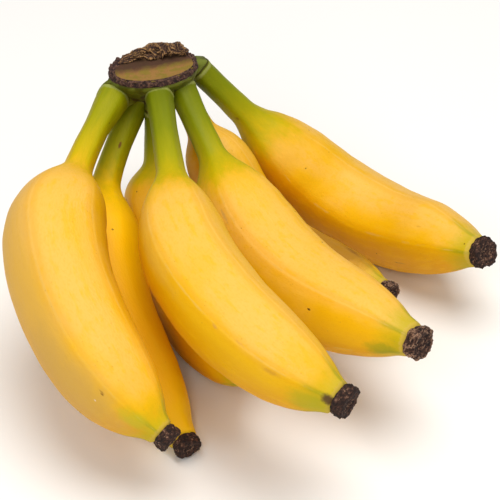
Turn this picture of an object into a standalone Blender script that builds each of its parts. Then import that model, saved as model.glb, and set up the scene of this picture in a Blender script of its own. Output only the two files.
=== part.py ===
"""A hand of seven small bananas, cut from the stem and laid on a table.

Four fruits make the upper row and three the lower row. All seven stalks grow from one crown, whose cut
face looks up. The hand rests on the backs of its lowest fruits. Sizes here are in millimetres.
"""
import math

import bmesh
import bpy
import numpy as np
from mathutils import Vector

MM = 0.001
SHARP_FROM = 40  # degrees: edges turned more than this stay sharp
PATH_STEP = 0.5  # how finely each fruit's path is followed

# Sizes shared by all the fruits
SIDES = 20  # points round a fruit: four to each of its five faces
RIDGES = 5
FACE_DRAW = 0.07  # how far the faces between the ridges are drawn in, as a share of the radius
STALK_FACE_DRAW = 0.07  # how much more so on the stalk, where the ridges show most
STALK_RADIUS = 4.4
STALK_START = 5.3  # along the path, just clear of the crown's stub
END_DRAW = 0.15  # how much narrower than its neck a fruit is at its very end
END_REACH = 7.0  # over how many mm it narrows so
CAP_GAP = 0.3
CAP_LENGTH = 3.8
CAP_SIDES = 14
CAP_LOBES = 0.09  # how rough the blossom end is, as a share of its radius
CAP_PROFILE = ((0.0, 0.84), (0.18, 0.95), (0.5, 1.0), (0.85, 0.97), (1.0, 0.82), (0.93, 0.5))  # along, across

# Where along a fruit the rings lie, as shares of its length
STATIONS = (0.08, 0.12, 0.16, 0.19, 0.22, 0.25, 0.28, 0.31, 0.345, 0.39, 0.44, 0.5, 0.56, 0.62,
            0.68, 0.73, 0.78, 0.82, 0.86, 0.89, 0.915, 0.94, 0.965)

# How the stalk swells into the body: (share of the swelling part, share of the widest radius)
SHOULDER = ((0.14, 0.43), (0.27, 0.62), (0.45, 0.81), (0.68, 0.94), (1.0, 1.0))

# How the body narrows to the neck: (share of the way from full body to tip, share of the narrowing left)
TAPER = ((0.0, 1.0), (0.25, 0.963), (0.47, 0.85), (0.64, 0.69), (0.76, 0.485), (0.86, 0.26), (0.93, 0.03),
         (1.0, 0.0))

# Each fruit: where its stalk meets the crown, the way it leaves and the way its tip points (compass angle
# from +X and angle above level), its length, the shares of the length between which it bends, its widest
# radius, the radius of its neck, the share that is stalk, the share over which the stalk swells into the
# body, the share where the body starts to narrow, how far the body's middle lies outside the stalk's line,
# and the turn of its ridges in degrees
FRUITS = {
    "banana_1": dict(root=(-13.0, -3.0, 67.8), leave=(251, -9), tip=(328, -24), length=136.0,
                     bend=(0.11, 1.07), girth=16.5, neck=4.9, stalk=0.262, swell=0.21,
                     full=0.65, lean=3.9, turn=61),
    "banana_2": dict(root=(-6.9, 4.7, 59.2), leave=(245, -36), tip=(301, -13.6), length=132.1,
                     bend=(0.11, 0.75), girth=15.5, neck=5.2, stalk=0.224, swell=0.19,
                     full=0.43, lean=-0.3, turn=33),
    "banana_3": dict(root=(2.4, -5.7, 70.0), leave=(278, -10), tip=(324, -7), length=141.1,
                     bend=(0.25, 0.97), girth=15.1, neck=6.0, stalk=0.256, swell=0.27,
                     full=0.64, lean=2.4, turn=64),
    "banana_4": dict(root=(9.5, 2.4, 67.8), leave=(298, -31), tip=(316, 11), length=133.0,
                     bend=(0.27, 0.80), girth=16.7, neck=6.2, stalk=0.206, swell=0.26,
                     full=0.48, lean=1.0, turn=58),
    "banana_5": dict(root=(14.8, 13.9, 67.9), leave=(356, -49), tip=(309, 21), length=140.5,
                     bend=(0.32, 0.77), girth=15.4, neck=6.0, stalk=0.18, swell=0.28,
                     full=0.53, lean=0.5, turn=42),
    "banana_6": dict(root=(1.3, 2.5, 58.1), leave=(259, -71), tip=(296, 17), length=123.1,
                     bend=(0.0, 0.78), girth=11.8, neck=4.5, stalk=0.147, swell=0.11,
                     full=0.66, lean=3.7, turn=68),
    "banana_7": dict(root=(9.7, 8.1, 60.8), leave=(318, -52), tip=(317, 13), length=112.7,
                     bend=(0.32, 0.73), girth=12.0, neck=4.1, stalk=0.108, swell=0.17,
                     full=0.57, lean=-0.7, turn=57),
}

# The crown: an oval pad under the cut, with a stub for each stalk
CROWN_MIDDLE = (0.3, 2.2)
CROWN_TURN = 17  # degrees
CROWN_HALF_LONG = 15.4
CROWN_HALF_SHORT = 10.5
CROWN_SIDES = 40
SHOULDER_Z = 75.0
FACE_Z = 76.9
FACE_HALF_LONG = 12.6
FACE_HALF_SHORT = 6.6
FACE_SHIFT = -1.3  # the face lies toward the front of the pad
PAD_LEVELS = ((61.5, 0.42), (62.7, 0.64), (65.3, 0.83), (68.5, 0.94), (72.0, 1.0), (74.2, 1.0),
              (SHOULDER_Z, 0.975))
STUB_LENGTH = 5.0
STUB_PROFILE = ((-7.2, 2.6), (-2.5, 3.9), (0.0, 4.4), (2.4, 4.8), (STUB_LENGTH, 4.45))
CLEARANCE = 0.6

# The dried rim round the face: a low band in front, torn fibres standing up at the back
RIM_GAP = 0.3
RIM_SIDES = 48
RIM_STAND = 0.4
RIM_ROUGH = 0.25
FIBRE_STAND = 2.3
FIBRE_ROUGH = 1.5
FIBRE_RISE = 0.5  # how much higher the fibres stand at the right end than in the middle


def heading(compass, pitch):
    """The unit direction at a compass angle from +X and an angle above level, both in degrees."""
    a = math.radians(compass)
    p = math.radians(pitch)
    return Vector((math.cos(p) * math.cos(a), math.cos(p) * math.sin(a), math.sin(p)))


def path_frames(fruit, places):
    """(point, direction, normal, side) at each distance along the fruit. One below 0 lies in the crown."""
    first = heading(*fruit["leave"])
    last = heading(*fruit["tip"])
    turn = first.angle(last)
    side = first.cross(last).normalized()
    start, end = fruit["bend"]
    length = fruit["length"]
    frames = []
    point = Vector(fruit["root"])
    here = 0.0
    marks = sorted(places)
    while marks and marks[0] <= 0:
        frames.append((point + first * marks[0], first, side.cross(first), side))
        marks.pop(0)
    direction = first
    while marks:
        share = (here + PATH_STEP / 2) / length
        f = min(max((share - start) / (end - start), 0), 1)
        f = (f * f * (3 - 2 * f) + f) / 2
        direction = (math.sin((1 - f) * turn) * first + math.sin(f * turn) * last) / math.sin(turn)
        direction.normalize()
        while marks and marks[0] <= here + PATH_STEP:
            at = point + direction * (marks[0] - here)
            frames.append((at, direction.copy(), side.cross(direction), side))
            marks.pop(0)
        point = point + direction * PATH_STEP
        here += PATH_STEP
    return frames


def radius_at(fruit, share):
    """The fruit's radius in mm at a share of its length: slim stalk, full body, narrow neck."""
    girth = fruit["girth"]
    neck = fruit["neck"]
    stalk = fruit["stalk"]
    full = max(fruit["full"], stalk + fruit["swell"] + 0.01)
    shares = [0.0, stalk * 0.5, stalk]
    radii = [STALK_RADIUS, STALK_RADIUS, STALK_RADIUS * 1.1]
    for further, part in SHOULDER:
        shares.append(stalk + fruit["swell"] * further)
        radii.append(girth * part)
    for further, left in TAPER:
        shares.append(full + (1 - full) * further)
        radii.append(neck + (girth - neck) * left)
    near_end = max(1 - (1 - share) * fruit["length"] / END_REACH, 0)
    return float(np.interp(share, shares, radii)) * (1 - END_DRAW * near_end ** 2)


def belly_shift(fruit, share):
    """How far outward the middle of the section lies at a share of the length. It is zero on the stalk."""
    f = min(max((share - fruit["stalk"] + 0.02) / (fruit["swell"] + 0.02), 0), 1)
    return fruit["lean"] * f * f * (3 - 2 * f)


def section(radius, sides, ridges, sharp, turn):
    """Points of one ring: a circle with soft ridges, sharp being how far the faces between are drawn in."""
    points = []
    for k in range(sides):
        angle = 2 * math.pi * k / sides
        drawn_in = sharp * abs(math.sin(ridges * angle / 2))
        r = radius * (1 + sharp * 0.6 - drawn_in)
        points.append((r * math.cos(angle + turn), r * math.sin(angle + turn)))
    return points


def smooth(mesh):
    mesh.shade_smooth()
    mesh.set_sharp_from_angle(angle=math.radians(SHARP_FROM))


def finished(name, bm, made_of):
    bmesh.ops.recalc_face_normals(bm, faces=bm.faces)
    mesh = bpy.data.meshes.new(name)
    bm.to_mesh(mesh)
    bm.free()
    smooth(mesh)
    obj = bpy.data.objects.new(name, mesh)
    bpy.context.scene.collection.objects.link(obj)
    mesh.materials.append(made_of)
    return obj


def swept(name, rings, made_of):
    """One closed body through rings of points, with a middle point closing each end."""
    bm = bmesh.new()
    rows = [[bm.verts.new(p * MM) for p in ring] for ring in rings]
    for near, far in zip(rows, rows[1:]):
        count = len(near)
        for k in range(count):
            bm.faces.new((near[k], near[(k + 1) % count], far[(k + 1) % count], far[k]))
    for row in (rows[0], rows[-1]):
        middle = bm.verts.new(sum((v.co for v in row), Vector()) / len(row))
        for k in range(len(row)):
            bm.faces.new((row[k], row[(k + 1) % len(row)], middle))
    return finished(name, bm, made_of)


def material(name, colour, roughness):
    made = bpy.data.materials.new(name)
    made.use_nodes = True
    shader = made.node_tree.nodes["Principled BSDF"]
    shader.inputs["Base Color"].default_value = (*colour, 1)
    shader.inputs["Roughness"].default_value = roughness
    shader.inputs["Metallic"].default_value = 0.0
    made.diffuse_color = (*colour, 1)
    return made


def fruit_rings(fruit):
    length = fruit["length"]
    places = [STALK_START] + [share * length for share in STATIONS] + [length - 0.01]
    rings = []
    for place, (point, _, normal, side) in zip(places, path_frames(fruit, places)):
        share = place / length
        radius = radius_at(fruit, share)
        slim = 1 - min(radius / fruit["girth"], 1)
        sharp = FACE_DRAW + STALK_FACE_DRAW * slim
        ring = section(radius, SIDES, RIDGES, sharp, math.radians(fruit["turn"]))
        middle = point - normal * belly_shift(fruit, share)
        rings.append([middle + normal * a + side * b for a, b in ring])
    return rings


def cap_rings(fruit, seed):
    """The dried blossom end: a short rough plug, a little hollow at its outer end."""
    rng = np.random.default_rng(seed)
    end = path_frames(fruit, [fruit["length"] - 0.01])[0]
    point, direction, normal, side = end
    middle = point - normal * fruit["lean"]
    lobes = CAP_LOBES * rng.uniform(-1, 1, CAP_SIDES)
    rings = []
    for along, across in CAP_PROFILE:
        ring = []
        for k in range(CAP_SIDES):
            angle = 2 * math.pi * k / CAP_SIDES
            r = fruit["neck"] * (1 - END_DRAW) * across * (1 + lobes[k])
            reach = CAP_GAP + CAP_LENGTH * along * (1 + 1.3 * lobes[k] * along)
            across_the_end = normal * (r * math.cos(angle)) + side * (r * math.sin(angle))
            ring.append(middle + direction * reach + across_the_end)
        rings.append(ring)
    return rings


def oval(half_long, half_short, z, shift=0.0, sides=CROWN_SIDES):
    """A level oval ring about the crown's middle, turned as the crown is."""
    turn = math.radians(CROWN_TURN)
    ring = []
    for k in range(sides):
        angle = 2 * math.pi * k / sides
        along = half_long * math.cos(angle)
        across = shift + half_short * math.sin(angle)
        ring.append(Vector((CROWN_MIDDLE[0] + along * math.cos(turn) - across * math.sin(turn),
                            CROWN_MIDDLE[1] + along * math.sin(turn) + across * math.cos(turn), z)))
    return ring


def crown_pad_rings():
    rings = [oval(CROWN_HALF_LONG * share, CROWN_HALF_SHORT * share, z) for z, share in PAD_LEVELS]
    rings.append(oval(FACE_HALF_LONG, FACE_HALF_SHORT, SHOULDER_Z, FACE_SHIFT))
    rings.append(oval(FACE_HALF_LONG - 0.1, FACE_HALF_SHORT - 0.1, FACE_Z - 0.4, FACE_SHIFT))
    rings.append(oval(FACE_HALF_LONG - 0.6, FACE_HALF_SHORT - 0.6, FACE_Z, FACE_SHIFT))
    rings.append(oval(FACE_HALF_LONG * 0.6, FACE_HALF_SHORT * 0.6, FACE_Z - 0.5, FACE_SHIFT))
    return rings


def stub_rings(fruit):
    frames = path_frames(fruit, [place for place, _ in STUB_PROFILE])
    rings = []
    for (_, radius), (point, _, normal, side) in zip(STUB_PROFILE, frames):
        ring = section(radius, SIDES, RIDGES, 0.1, math.radians(fruit["turn"]))
        rings.append([point + normal * a + side * b for a, b in ring])
    return rings


def clearance_rings(fruit):
    """A little more than the stalk, to keep the crown off the fruit once it has left its stub."""
    frames = path_frames(fruit, [STUB_LENGTH + 0.05, 12.0, 22.0])
    rings = []
    for point, _, normal, side in frames:
        ring = section(STALK_RADIUS + CLEARANCE, SIDES, RIDGES, 0.1, math.radians(fruit["turn"]))
        rings.append([point + normal * a + side * b for a, b in ring])
    return rings


def rim_rings():
    """Rings across the dried rim, going round it: low and thin in front, thick and torn at the back."""
    rng = np.random.default_rng(11)
    outer = oval(CROWN_HALF_LONG, CROWN_HALF_SHORT, 0.0, 0.0, RIM_SIDES)
    inner = oval(FACE_HALF_LONG, FACE_HALF_SHORT, 0.0, FACE_SHIFT, RIM_SIDES)
    rings = []
    for k, (far, near) in enumerate(zip(outer, inner)):
        angle = 2 * math.pi * k / RIM_SIDES
        back = max(math.sin(angle), 0) ** 0.6
        torn = rng.uniform(-1, 1)
        out = (far - near).normalized()
        base = SHOULDER_Z + RIM_GAP
        fibres = back * (FIBRE_STAND + FIBRE_RISE * math.cos(angle) + FIBRE_ROUGH * torn)
        crest = FACE_Z + RIM_STAND + RIM_ROUGH * torn + fibres
        width = (far - near).length
        points = ((RIM_GAP, base), (RIM_GAP + 0.1, crest - 0.9), (0.5 + width * 0.16, crest - 0.25),
                  (width * 0.55, crest + 0.1), (width * 0.9, crest - 0.5 - back * 0.5),
                  (width + 0.5 + 0.2 * torn, (crest + base) / 2), (width + 0.25, base))
        rings.append([near + out * across + Vector((0, 0, z)) for across, z in points])
    return rings


def closed_loop(name, rings, made_of):
    """A body through rings of points whose last ring meets the first."""
    bm = bmesh.new()
    rows = [[bm.verts.new(p * MM) for p in ring] for ring in rings]
    for near, far in zip(rows, rows[1:] + rows[:1]):
        count = len(near)
        for k in range(count):
            bm.faces.new((near[k], near[(k + 1) % count], far[(k + 1) % count], far[k]))
    return finished(name, bm, made_of)


def boolean(target, other, operation):
    step = target.modifiers.new(operation.lower(), "BOOLEAN")
    step.operation = operation
    step.solver = "EXACT"
    step.object = other
    other.hide_render = True
    other.display_type = "WIRE"


def apply_steps(obj):
    """Bakes the modifiers into the object's own mesh."""
    graph = bpy.context.evaluated_depsgraph_get()
    done = bpy.data.meshes.new_from_object(obj.evaluated_get(graph))
    obj.modifiers.clear()
    obj.data = done
    smooth(done)


def press_flat(obj):
    """Cuts off what lies below the table, leaving the small flat the fruit rests on."""
    bm = bmesh.new()
    bm.from_mesh(obj.data)
    if min(v.co.z for v in bm.verts) < 0:
        everything = bm.verts[:] + bm.edges[:] + bm.faces[:]
        cut = bmesh.ops.bisect_plane(bm, geom=everything, dist=1e-7, plane_co=(0, 0, 0), plane_no=(0, 0, -1),
                                     clear_outer=True)
        edges = [e for e in cut["geom_cut"] if isinstance(e, bmesh.types.BMEdge)]
        bmesh.ops.contextual_create(bm, geom=edges)
        bmesh.ops.recalc_face_normals(bm, faces=bm.faces)
        bm.to_mesh(obj.data)
    bm.free()


def centre_over_origin(objects):
    """Moves the meshes so that the hand's box stands with its bottom middle at the origin."""
    corners = np.array([v.co[:] for obj in objects for v in obj.data.vertices])
    middle = (corners.min(axis=0) + corners.max(axis=0)) / 2
    for obj in objects:
        for vertex in obj.data.vertices:
            vertex.co -= Vector((middle[0], middle[1], 0))
    print("moved by", -middle[:2])


def main():
    for obj in list(bpy.data.objects):
        bpy.data.objects.remove(obj)
    skin = material("banana_skin", (0.90, 0.55, 0.02), 0.45)
    green = material("crown_green", (0.20, 0.25, 0.03), 0.6)
    dry = material("dried_fibre", (0.10, 0.055, 0.03), 0.9)
    cap = material("blossom_end", (0.06, 0.032, 0.026), 0.85)
    made = []
    for number, (name, fruit) in enumerate(FRUITS.items(), 1):
        body = swept(name, fruit_rings(fruit), skin)
        print(name, "lowest", min(v.co.z for v in body.data.vertices) / MM)
        press_flat(body)
        made.append(body)
        end = swept("blossom_end_%d" % number, cap_rings(fruit, number), cap)
        press_flat(end)
        made.append(end)
    crown = swept("crown", crown_pad_rings(), green)
    tools = []
    for name, fruit in FRUITS.items():
        tools.append(swept(name.replace("banana", "stub"), stub_rings(fruit), green))
        boolean(crown, tools[-1], "UNION")
    for name, fruit in FRUITS.items():
        tools.append(swept(name.replace("banana", "clearance"), clearance_rings(fruit), green))
        boolean(crown, tools[-1], "DIFFERENCE")
    bpy.context.view_layer.update()
    apply_steps(crown)
    for tool in tools:
        bpy.data.objects.remove(tool)
    made.append(crown)
    made.append(closed_loop("crown_fibres", rim_rings(), dry))
    centre_over_origin(made)


main()
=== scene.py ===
# %% [markdown]
# # A hand of seven small bananas
# The hand was cut from its stem and laid on a table. Seven fruits grow from one green crown, and the dry
# cut face of the crown looks up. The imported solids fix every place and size, and this lesson dresses
# them: smooth ridged skins, crumbling blossom ends, a soft crown, a dried rim and torn fibres. The
# floor, the light and the camera come last.

# %% Load the frame
import math
from types import SimpleNamespace

import bmesh
import bpy
import numpy as np
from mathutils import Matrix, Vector, noise


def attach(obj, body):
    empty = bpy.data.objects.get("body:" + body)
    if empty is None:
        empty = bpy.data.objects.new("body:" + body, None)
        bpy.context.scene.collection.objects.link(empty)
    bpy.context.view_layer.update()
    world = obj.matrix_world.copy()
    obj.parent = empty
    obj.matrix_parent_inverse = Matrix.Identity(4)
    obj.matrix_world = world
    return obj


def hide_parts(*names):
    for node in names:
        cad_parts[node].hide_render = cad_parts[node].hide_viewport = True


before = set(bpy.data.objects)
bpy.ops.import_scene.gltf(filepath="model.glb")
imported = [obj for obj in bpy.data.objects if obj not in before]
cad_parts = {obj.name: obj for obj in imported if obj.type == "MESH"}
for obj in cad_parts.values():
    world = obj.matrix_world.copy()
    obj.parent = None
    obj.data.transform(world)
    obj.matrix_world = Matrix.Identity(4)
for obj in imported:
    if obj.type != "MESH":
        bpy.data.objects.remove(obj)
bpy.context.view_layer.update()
MM = 0.001

# %% [markdown]
# ## Shader sums as plain expressions
# A skin is a stack of masks: green near the crown, a tan line on a ridge, specks. Wiring each mask by
# hand would bury the idea under sockets. A small class that wraps a socket lets a mask be written as a
# sum, and one method adds any other node.


# %% The socket class and the finish class
class Wire:
    """An output socket that can stand in sums. A sum with a vector in it uses Vector Math."""

    def __init__(self, finish, socket):
        self.finish = finish
        self.socket = socket

    def sum(self, operation, *others):
        terms = (self, *others)
        vector = any(isinstance(t, tuple) or isinstance(t, Wire) and t.socket.type == "VECTOR"
                     for t in terms)
        kind = "ShaderNodeVectorMath" if vector else "ShaderNodeMath"
        return self.finish.add(kind, {"operation": operation}, dict(enumerate(terms)))

    def __add__(self, other):
        return self.sum("ADD", other)

    __radd__ = __add__

    def __sub__(self, other):
        return self.sum("SUBTRACT", other)

    def __rsub__(self, other):
        kind = "ShaderNodeVectorMath" if self.socket.type == "VECTOR" else "ShaderNodeMath"
        return self.finish.add(kind, {"operation": "SUBTRACT"}, {0: other, 1: self})

    def __mul__(self, other):
        return self.sum("MULTIPLY", other)

    __rmul__ = __mul__

    def __truediv__(self, other):
        return self.sum("DIVIDE", other)

    def between(self, low, high):
        """0 at low and 1 at high, with a soft start and end. Low may be the larger one."""
        return self.finish.add("ShaderNodeMapRange", {"interpolation_type": "SMOOTHSTEP"},
                               {"Value": self, "From Min": low, "From Max": high})

    def length(self):
        return self.finish.add("ShaderNodeVectorMath", {"operation": "LENGTH"}, {0: self}, out="Value")


class Finish:
    """A material with one shader, and the method that adds its nodes."""

    def __init__(self, name, roughness=0.5, specular=0.5):
        self.material = bpy.data.materials.new(name)
        self.material.use_nodes = True
        self.tree = self.material.node_tree
        self.shader = self.tree.nodes["Principled BSDF"]
        self.plug(self.shader.inputs["Roughness"], roughness)
        self.plug(self.shader.inputs["Specular IOR Level"], specular)

    def plug(self, socket, value):
        if isinstance(value, Wire):
            self.tree.links.new(value.socket, socket)
        elif isinstance(value, (int, float)) and socket.type == "VECTOR":
            socket.default_value = (value, value, value)
        else:
            socket.default_value = value

    def add(self, kind, settings, values, out=0):
        made = self.tree.nodes.new(kind)
        for name, value in settings.items():
            if name == "stops":
                self.set_stops(made.color_ramp, value)
            else:
                setattr(made, name, value)
        for name, value in values.items():
            self.plug(made.inputs[name], value)
        return Wire(self, made.outputs[out])

    def set_stops(self, ramp, stops):
        while len(ramp.elements) < len(stops):
            ramp.elements.new(1.0)
        for element, (place, colour) in zip(ramp.elements, stops):
            element.position = place
            element.color = colour

    def mix(self, share, under, over):
        """Colour over laid on colour under where share is 1."""
        settings = {"data_type": "RGBA", "blend_type": "MIX", "clamp_factor": True}
        return self.add("ShaderNodeMix", settings, {0: share, 6: under, 7: over}, out=2)

    def ramp(self, share, stops):
        return self.add("ShaderNodeValToRGB", {"stops": stops}, {0: share})

    def number(self, name):
        return self.add("ShaderNodeAttribute", {"attribute_name": name}, {}, out="Fac")

    def vector(self, name):
        return self.add("ShaderNodeAttribute", {"attribute_name": name}, {}, out="Vector")

    def place(self):
        """The place on the piece in mm."""
        return self.add("ShaderNodeTexCoord", {}, {}, out="Object") * (1000.0, 1000.0, 1000.0)

    def noise(self, at, scale, detail=3.0, rough=0.5):
        return self.add("ShaderNodeTexNoise", {},
                        {"Vector": at, "Scale": scale, "Detail": detail, "Roughness": rough})

    def cells(self, at, scale, out="Distance"):
        return self.add("ShaderNodeTexVoronoi", {}, {"Vector": at, "Scale": scale}, out=out)

    def relief(self, height, depth_mm):
        self.plug(self.shader.inputs["Normal"],
                  self.add("ShaderNodeBump", {}, {"Height": height, "Distance": depth_mm * MM}))

    def colour(self, value):
        self.plug(self.shader.inputs["Base Color"], value)

    def roughness(self, value):
        self.plug(self.shader.inputs["Roughness"], value)


# %% [markdown]
# ## Colours
# Colours are easiest to choose as they look on a screen, but a shader takes linear ones. No fruit sends
# back all the light, so every colour is also turned down a little, which keeps the gaps between fruits
# dark.

# %% A colour as it is seen
SENT_BACK = 0.84


def seen(red, green, blue):
    """A colour written as it looks on screen, 0 to 255, as the linear colour that a shader takes."""
    shares = (v / 255 for v in (red, green, blue))
    return (*(SENT_BACK * (v / 12.92 if v < 0.04 else ((v + 0.055) / 1.055) ** 2.4) for v in shares), 1.0)


print("the yellow of the body in linear colour:", [round(v, 3) for v in seen(252, 196, 20)])

# %% [markdown]
# ## The path of a fruit
# A banana is a bent body: a stalk, a belly and a narrow neck, all round one curved line. The line could
# be a curve object, but the solids were made from a few numbers for each fruit, so the same numbers give
# the same line here. Each fruit leaves the crown one way, ends another way, and turns smoothly in
# between.
#
# - root: where the stalk leaves the crown, in mm. leave and tip: the first and last way of the line, as a
#   compass angle and a pitch in degrees. bend: the shares of the length between which it turns.
# - girth and neck: the radius of the body and of the neck in mm. stalk, swell and full: the shares of the
#   length where the stalk ends, over which the body opens, and where it starts to taper.
# - lean: how far the body sits outside the line in mm. turn: the angle of the first ridge in degrees.

# %% The numbers of each fruit
FRUITS = {
    "banana_1": dict(root=(-13.0, -3.0, 67.8), leave=(251, -9), tip=(328, -24), length=136.0,
                     bend=(0.11, 1.07), girth=16.5, neck=4.9, stalk=0.262, swell=0.21,
                     full=0.65, lean=3.9, turn=61),
    "banana_2": dict(root=(-6.9, 4.7, 59.2), leave=(245, -36), tip=(301, -13.6), length=132.1,
                     bend=(0.11, 0.75), girth=15.5, neck=5.2, stalk=0.224, swell=0.19,
                     full=0.43, lean=-0.3, turn=33),
    "banana_3": dict(root=(2.4, -5.7, 70.0), leave=(278, -10), tip=(324, -7), length=141.1,
                     bend=(0.25, 0.97), girth=15.1, neck=6.0, stalk=0.256, swell=0.27,
                     full=0.64, lean=2.4, turn=64),
    "banana_4": dict(root=(9.5, 2.4, 67.8), leave=(298, -31), tip=(316, 11), length=133.0,
                     bend=(0.27, 0.80), girth=16.7, neck=6.2, stalk=0.206, swell=0.26,
                     full=0.48, lean=1.0, turn=58),
    "banana_5": dict(root=(14.8, 13.9, 67.9), leave=(356, -49), tip=(309, 21), length=140.5,
                     bend=(0.32, 0.77), girth=15.4, neck=6.0, stalk=0.18, swell=0.28,
                     full=0.53, lean=0.5, turn=42),
    "banana_6": dict(root=(1.3, 2.5, 58.1), leave=(259, -71), tip=(296, 17), length=123.1,
                     bend=(0.0, 0.78), girth=11.8, neck=4.5, stalk=0.147, swell=0.11,
                     full=0.66, lean=3.7, turn=68),
    "banana_7": dict(root=(9.7, 8.1, 60.8), leave=(318, -52), tip=(317, 13), length=112.7,
                     bend=(0.32, 0.73), girth=12.0, neck=4.1, stalk=0.108, swell=0.17,
                     full=0.57, lean=-0.7, turn=57),
}
MOVE = np.array((-35.847, 54.154, 0.0))  # from the numbers' own origin to the middle of the hand's box
CROWN_HEART = np.array((0.3, 2.2, 68.0)) + MOVE
STALK_RADIUS = 4.4
# pairs: share of the way over which the body opens, and share of the girth
SHOULDER = ((0.14, 0.43), (0.27, 0.62), (0.45, 0.81), (0.68, 0.94), (1.0, 1.0))
# pairs: share of the way to the end, and how much of the body is left over the neck
TAPER = ((0.0, 1.0), (0.25, 0.963), (0.47, 0.85), (0.64, 0.69), (0.76, 0.485), (0.86, 0.26), (0.93, 0.03),
         (1.0, 0.0))
END_DRAW = 0.15  # how much narrower than its neck a fruit is at its very end
END_REACH = 7.0
STEP = 0.5  # mm between two points of a line
PROFILE_POINTS = 400
print("fruits:", len(FRUITS))


# %% The middle line
def heading(compass, pitch):
    a = math.radians(compass)
    p = math.radians(pitch)
    return np.array((math.cos(p) * math.cos(a), math.cos(p) * math.sin(a), math.sin(p)))


class Path:
    """The curved middle line of a fruit, read by the distance in mm from its root."""

    def __init__(self, fruit):
        first = heading(*fruit["leave"])
        last = heading(*fruit["tip"])
        turn = math.acos(float(first @ last))
        side = np.cross(first, last)
        self.side = side / np.linalg.norm(side)
        start, end = fruit["bend"]
        middles = np.arange(STEP / 2, fruit["length"] + 8, STEP)
        f = np.clip((middles / fruit["length"] - start) / (end - start), 0, 1)
        f = ((f * f * (3 - 2 * f) + f) / 2)[:, None]
        ways = (np.sin((1 - f) * turn) * first + np.sin(f * turn) * last) / math.sin(turn)
        ways /= np.linalg.norm(ways, axis=1)[:, None]
        root = np.array(fruit["root"]) + MOVE
        self.first = first
        self.root = root
        self.marks = np.concatenate(([0.0], middles + STEP / 2))
        self.points = root + np.concatenate((np.zeros((1, 3)), np.cumsum(ways * STEP, axis=0)))
        self.ways = np.vstack((ways[:1], ways))

    def at(self, distance):
        """(point, normal, way) at a distance. Below 0 the line runs on into the middle of the crown."""
        if distance <= 0:
            inward = (CROWN_HEART - self.root) / np.linalg.norm(CROWN_HEART - self.root)
            point = self.root + self.first * distance * 0.4 - inward * distance * 0.6
            return point, np.cross(self.side, self.first), self.first
        point = np.array([np.interp(distance, self.marks, self.points[:, k]) for k in range(3)])
        way = np.array([np.interp(distance, self.marks, self.ways[:, k]) for k in range(3)])
        way /= np.linalg.norm(way)
        return point, np.cross(self.side, way), way


# %% The radius along the line
def radius_profile(fruit):
    """Radii in mm at even shares of the length, with the corners between the given ones rounded off."""
    girth, neck, stalk = fruit["girth"], fruit["neck"], fruit["stalk"]
    full = max(fruit["full"], stalk + fruit["swell"] + 0.01)
    shares = [-0.2, stalk * 0.5, stalk]
    radii = [STALK_RADIUS, STALK_RADIUS, STALK_RADIUS * 1.1]
    for further, part in SHOULDER:
        shares.append(stalk + fruit["swell"] * further)
        radii.append(girth * part)
    for further, left in TAPER:
        shares.append(full + (1 - full) * further)
        radii.append(neck + (girth - neck) * left)
    margin = PROFILE_POINTS // 10
    even = np.interp(np.linspace(-0.1, 1.1, PROFILE_POINTS + 2 * margin), shares, radii)
    window = np.hanning(23)
    smooth = np.convolve(even, window / window.sum(), mode="same")[margin:-margin]
    near_end = np.clip(1 - np.linspace(1, 0, PROFILE_POINTS) * fruit["length"] / END_REACH, 0, 1)
    return smooth * (1 - END_DRAW * near_end ** 2)


PATHS = {name: Path(fruit) for name, fruit in FRUITS.items()}
PROFILES = {name: radius_profile(fruit) for name, fruit in FRUITS.items()}


def radius_at(name, share):
    return float(np.interp(share, np.linspace(0, 1, PROFILE_POINTS), PROFILES[name]))


for name, profile in PROFILES.items():
    thickness = round(2 * float(profile.max()), 1)
    print(name, "is", FRUITS[name]["length"], "mm long and", thickness, "mm thick")

# %% [markdown]
# ## The skins
# A banana has five faces with soft ridges between them, a little sharper on the stalk and on the neck.
# The skin starts as a straight tube, cut into rings. Later every point moves to its place round the bent
# line. A long tube with even rings is simpler to bend than a curve object is to give ridges and lumps.

# %% The straight tube
SKIN_SIDES = 80
SKIN_RINGS = 150
INTO_CROWN = 2.8  # mm of the stalk that are hidden in the crown


def straight_tube(sides, rings):
    """A tube of radius 1 from z -0.5 to 0.5, in even rings."""
    bm = bmesh.new()
    bmesh.ops.create_cone(bm, cap_ends=False, segments=sides, radius1=1, radius2=1, depth=1)
    along = [e for e in bm.edges if abs(e.verts[0].co.z - e.verts[1].co.z) > 0.5]
    bmesh.ops.subdivide_edges(bm, edges=along, cuts=rings - 1, use_grid_fill=True)
    return bm


print("a skin has", SKIN_RINGS, "rings of", SKIN_SIDES, "faces")

# %% [markdown]
# Across, the tube gets five ridges with rounded tops. At its end the skin closes a little over the neck,
# like a lip round the blossom end.

# %% The ridges and the lip
RIDGE_SOFTNESS = 0.2
LIP = 1.2  # mm of the skin that close over the end


def ridge_nearness(angle):
    """1 on a ridge and 0 in the middle of a face, with a rounded top."""
    away = abs(math.sin(2.5 * angle))
    soft = math.sqrt(away * away + RIDGE_SOFTNESS ** 2)
    return 1 - (soft - RIDGE_SOFTNESS) / (math.sqrt(1 + RIDGE_SOFTNESS ** 2) - RIDGE_SOFTNESS)


def lip(fruit, distance):
    """How the skin closes over the end of the neck, as a share of its radius."""
    left = fruit["length"] - distance
    return 1.0 if left > LIP else 0.78 + 0.22 * math.sqrt(max(1 - (1 - left / LIP) ** 2, 0))


print("nearness on a ridge and between two:", ridge_nearness(0), round(ridge_nearness(math.pi / 5), 2))

# %% [markdown]
# Every finished piece goes through one small function. It makes the mesh, hangs it on the body of the
# part, and hides the solids that the piece stands for.

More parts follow.
